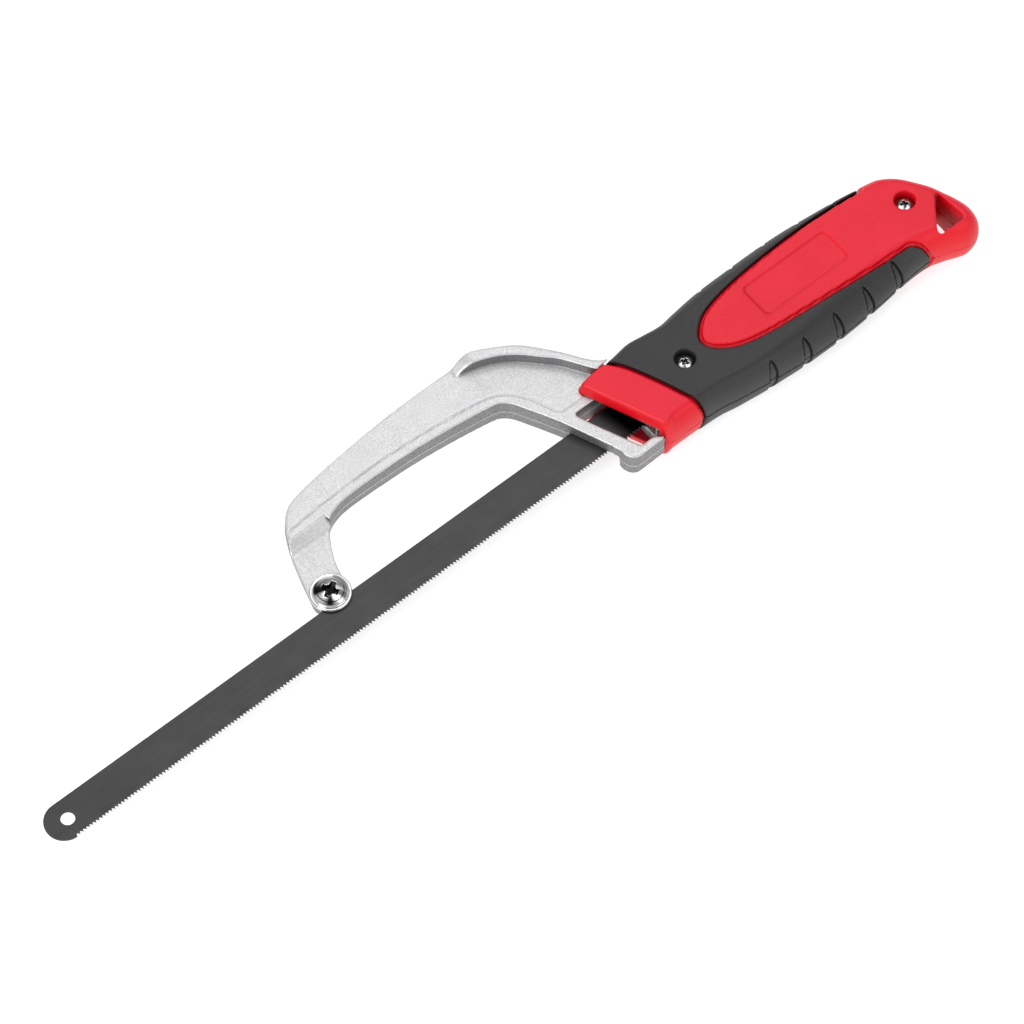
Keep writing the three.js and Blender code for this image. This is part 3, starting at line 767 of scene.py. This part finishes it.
# Painted reflections: brightness of the plating round a screw's head, from one turn's start to its end.
PAINTED_REFLECTIONS = (
    (0.0, 240), (0.06, 226), (0.12, 46), (0.16, 40), (0.20, 190), (0.27, 232), (0.31, 84), (0.36, 72),
    (0.42, 150), (0.62, 176), (0.78, 150), (0.85, 34), (0.93, 28), (0.97, 214), (1.0, 240),
)
REFLECTION_RIM = (0.86, 0.93)
RECESS_REACH = 0.74
RECESS_SKIN = 0.16
RECESS_LIGHT = (0.6, 0.8)


def driven_head(name, cx, cy, seat, radius, height, low, high, veil=0.0, recess_shade_level=16):
    """Plating on a screw head, with painted reflections: dark sweeps between bright ones round the dome, and
    painted shade in the cross recess.

    The veil lays an even grey over the painted reflections."""
    f = Finish(name, Metallic=1.0, Roughness=low)
    axis = f.vector("SUBTRACT", f.place, tuple(to_row((cx, cy, seat))))
    axis = f.split(f.vector("DIVIDE", axis, (MM, MM, MM)))
    squared = f.maths("ADD", f.maths("POWER", axis["X"], 2.0), f.maths("POWER", axis["Y"], 2.0))
    out = f.maths("POWER", squared, 0.5)
    turn = f.maths("MULTIPLY_ADD", f.maths("ARCTAN2", axis["Y"], axis["X"]), 0.5 / math.pi, 0.5)
    painted_reflection = f.ramp(turn, *((at, grey(level)) for at, level in PAINTED_REFLECTIONS))
    painted_reflection = f.mix(veil, painted_reflection, colour(200, 200, 202))
    # The painted reflections give way to an even light grey at the head's rim.
    rim = f.ramp(f.maths("DIVIDE", out, radius), (REFLECTION_RIM[0], 0.0), (REFLECTION_RIM[1], 1.0))
    base = f.mix(rim, painted_reflection, colour(222, 222, 224))

    # The recess is whatever lies below the dome and near the axis: painted shade, but for a painted highlight on
    # the walls that face RECESS_LIGHT.
    dome = f.maths("MULTIPLY_ADD", f.maths("POWER", out, 2.0), -0.5 * height / radius**2, height - RECESS_SKIN)
    near_axis = f.maths("LESS_THAN", out, radius * RECESS_REACH)
    sunk = f.maths("MULTIPLY", f.maths("LESS_THAN", axis["Z"], dome), near_axis)
    normal = f.split(f.normal)
    along, across = RECESS_LIGHT
    lit = f.maths("MULTIPLY_ADD", normal["X"], along, f.maths("MULTIPLY", normal["Y"], across))
    dark = colour(recess_shade_level, recess_shade_level, recess_shade_level)
    f.colour(f.mix(sunk, base, f.ramp(lit, (0.05, dark), (0.3, colour(240, 240, 240)))))
    f.roughness(f.ramp(f.noise(0.7, 3.0), (0.35, low), (0.65, high)))
    f.bump((f.noise(0.5, 3.0), 0.10, 0.02))
    return f.material


def red_plastic():
    f = Finish("red_plastic", Roughness=0.42, Specular_IOR_Level=0.3)
    grain = f.noise(0.28, 2.0, 0.6)
    base = f.ramp(f.noise(14.0, 2.0), (0.35, colour(208, 14, 40)), (0.65, colour(216, 20, 46)))
    base = f.mix(0.2, base, f.ramp(grain, (0.35, colour(196, 8, 26)), (0.65, colour(244, 44, 66))))
    # Painted shade: the walls take a deeper, more saturated red than the flat sides, as if less light and sheen
    # reach them.
    base = f.mix(f.facing(0.5, 0.95), colour(212, 2, 24), base)
    # Painted shade: creases, but not the parting line, take a deep dark red.
    crease_shade = f.maths("MULTIPLY", f.painted_crease_shade(), f.maths("SUBTRACT", 1.0, f.parting_line(0.8)))
    f.colour(f.mix(crease_shade, base, colour(186, 4, 16)))
    f.roughness(f.ramp(grain, (0.3, 0.48), (0.7, 0.38)))
    f.bump((f.noise(2.2, 2.0), 0.08, 0.05), (grain, 0.25, 0.02))
    return f.material


def soft_grip():
    f = Finish("soft_grip", Roughness=0.5, Specular_IOR_Level=0.5)
    grain = f.noise(0.45, 2.0, 0.75)
    base = f.ramp(grain, (0.3, colour(8, 8, 8)), (0.7, colour(32, 32, 32)))
    base = f.mix(0.3, base, f.ramp(f.noise(12.0, 2.0), (0.3, colour(34, 34, 34)), (0.7, colour(44, 44, 44))))
    # Painted shade: a near-black line along the seam between the two grip halves.
    base = f.mix(f.parting_line(0.3), base, colour(3, 3, 3))
    # Painted shade: creases and groove edges take near black.
    f.colour(f.mix(f.painted_crease_shade(), base, colour(4, 4, 4)))
    f.roughness(f.ramp(grain, (0.3, 0.58), (0.7, 0.46)))
    f.bump((f.noise(1.4, 2.0), 0.08, 0.04), (grain, 0.5, 0.035))
    return f.material


# ---------------------------------------------------------------- pieces

aluminium = cast_aluminium()
steel = blade_steel()
polished = plated_steel("polished_plating", 0.14, 0.24)
plated = plated_steel("satin_plating", 0.16, 0.28)
red = red_plastic()
grip = soft_grip()

COARSE = 1.0
# Each head's seat height, radius and height above its seat.
CLAMP_HEAD = (1.73, 6.1, 1.8)
HANDLE_HEAD = (6.5, 2.75, 2.2)


def field_piece(name, node, body, material, field, box, pitch):
    """A piece from a field, sampled in a box that the piece fits in, on a grid of the given pitch."""
    x0, x1, y0, y1, z0, z1 = box
    pitch *= COARSE
    found = surface(field, steps(x0, x1, pitch), steps(y0, y1, pitch), steps(z0, z1, pitch))
    return piece(name, body, node, mesh_object(name, *found, material))


field_piece("frame_cast", "frame_casting", "root", aluminium, casting_field,
            (103.1, 301, -17.7, 48.5, -11.07, 11.07), 0.45)
for side, name in ((1, "near"), (-1, "far")):
    low, high = (-0.37, 11.5) if side > 0 else (-11.5, 0.37)
    field_piece("shell_" + name, "handle_shell_" + name, "root", red, shell_field(side),
                (207, 364, -23.5, 21.5, low, high), 0.41)
    field_piece("grip_" + name, "grip_cover_" + name, "root", grip, grip_field(side),
                (226, 342, -22.5, 21, low, high), 0.31)
# The screw heads carry painted reflections, and painted shade in their recesses; the handle screws' are paler.
field_piece("clamp_screw_turned", "clamp_screw", "screw",
            driven_head("clamp_screw_plating_and_painted_light", *CLAMP, *CLAMP_HEAD, 0.1, 0.2),
            head_field(*CLAMP, *CLAMP_HEAD, shank=3.0, bottom=-5, turn=28, recess=0.9, crown_share=0.7),
            (105, 117.8, 3.5, 16.3, -5.3, 4.8), 0.14)
field_piece("clamp_washer_turned", "clamp_washer", "washer", polished,
            washer_field, (104, 118.8, 2.5, 17.3, 0.1, 2.0), 0.16)
for name, x, turn in (("front", PIN_X, 20), ("rear", REAR_SCREW_X, 65)):
    field_piece("handle_screw_" + name + "_turned", "handle_screw_" + name, "root",
                driven_head("handle_screw_plating_" + name, x, 0, *HANDLE_HEAD, 0.16, 0.28, 0.225, 93),
                head_field(x, 0, *HANDLE_HEAD, shank=1.45, bottom=-8.5, turn=turn, recess=0.75, crown_share=0.26),
                (x - 3, x + 3, -3, 3, -8.8, 9), 0.13)
field_piece("pin_sleeve_turned", "blade_pin_sleeve", "root", plated,
            sleeve_field, (PIN_X - 2.5, PIN_X + 2.5, -2.5, 2.5, -4.7, 1.8), 0.13)
piece("blade_toothed", "blade", "blade", blade_piece(steel))

# ---------------------------------------------------------------- floor, light and camera

def floor():
    f = Finish("floor", Roughness=0.9, Specular_IOR_Level=0.1, Emission_Color=(1, 1, 1, 1), Emission_Strength=0.65)
    f.colour(f.ramp(f.noise(60.0, 2.0), (0.3, colour(196, 196, 196)), (0.7, colour(200, 200, 200))))
    bpy.ops.mesh.primitive_plane_add(size=8, location=(0, 0, -0.0003))
    made = bpy.context.object
    made.name = "floor"
    made.data.materials.append(f.material)
    made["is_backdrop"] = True


def lamp(name, size, power, place):
    """A rectangular lamp that faces the origin."""
    data = bpy.data.lights.new(name, "AREA")
    data.shape = "RECTANGLE"
    data.size, data.size_y = size
    data.energy = power
    made = bpy.data.objects.new(name, data)
    bpy.context.scene.collection.objects.link(made)
    made.location = place
    made.rotation_mode = "QUATERNION"
    made.rotation_quaternion = Vector(place).to_track_quat("Z", "Y")
    return made


floor()
lamp("overhead", (1.3, 1.0), 7.2, (0.45, 0.25, 1.4))
lamp("left", (0.6, 1.0), 12, (-1.2, -0.2, 0.7))
lamp("right", (1.0, 0.6), 3.5, (0.3, -1.2, 0.6))
lamp("back", (1.4, 0.5), 4, (0.3, 1.4, 0.5))

world = bpy.data.worlds.new("studio")
world.use_nodes = True
world.node_tree.nodes["Background"].inputs["Color"].default_value = (1, 1, 1, 1)
world.node_tree.nodes["Background"].inputs["Strength"].default_value = 0.58
bpy.context.scene.world = world
bpy.context.scene.view_settings.view_transform = "Standard"

# The camera looks down past the blade's tip: angles in radians, distance and lens in millimetres.
HEADING, ELEVATION, DISTANCE, LENS = 0.68981, 1.063666, 1554.3, 171.13
AIM = (174.604, -3.668, 0)
forward = Vector((math.sin(HEADING), math.cos(HEADING), 0))
right = Vector((math.cos(HEADING), -math.sin(HEADING), 0))
look = forward * math.cos(ELEVATION) - Vector((0, 0, 1)) * math.sin(ELEVATION)
up = right.cross(look)
target = Vector(to_row(AIM))
camera = bpy.data.objects.new("camera", bpy.data.cameras.new("camera"))
camera.data.lens = LENS
camera.data.sensor_width = 36
camera.data.clip_start, camera.data.clip_end = 0.05, 50
camera.matrix_world = Matrix.Translation(target - look * DISTANCE * MM) @ Matrix(
    (right, up, -look)
).transposed().to_4x4()
bpy.context.scene.collection.objects.link(camera)
bpy.context.scene.camera = camera

low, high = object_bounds()
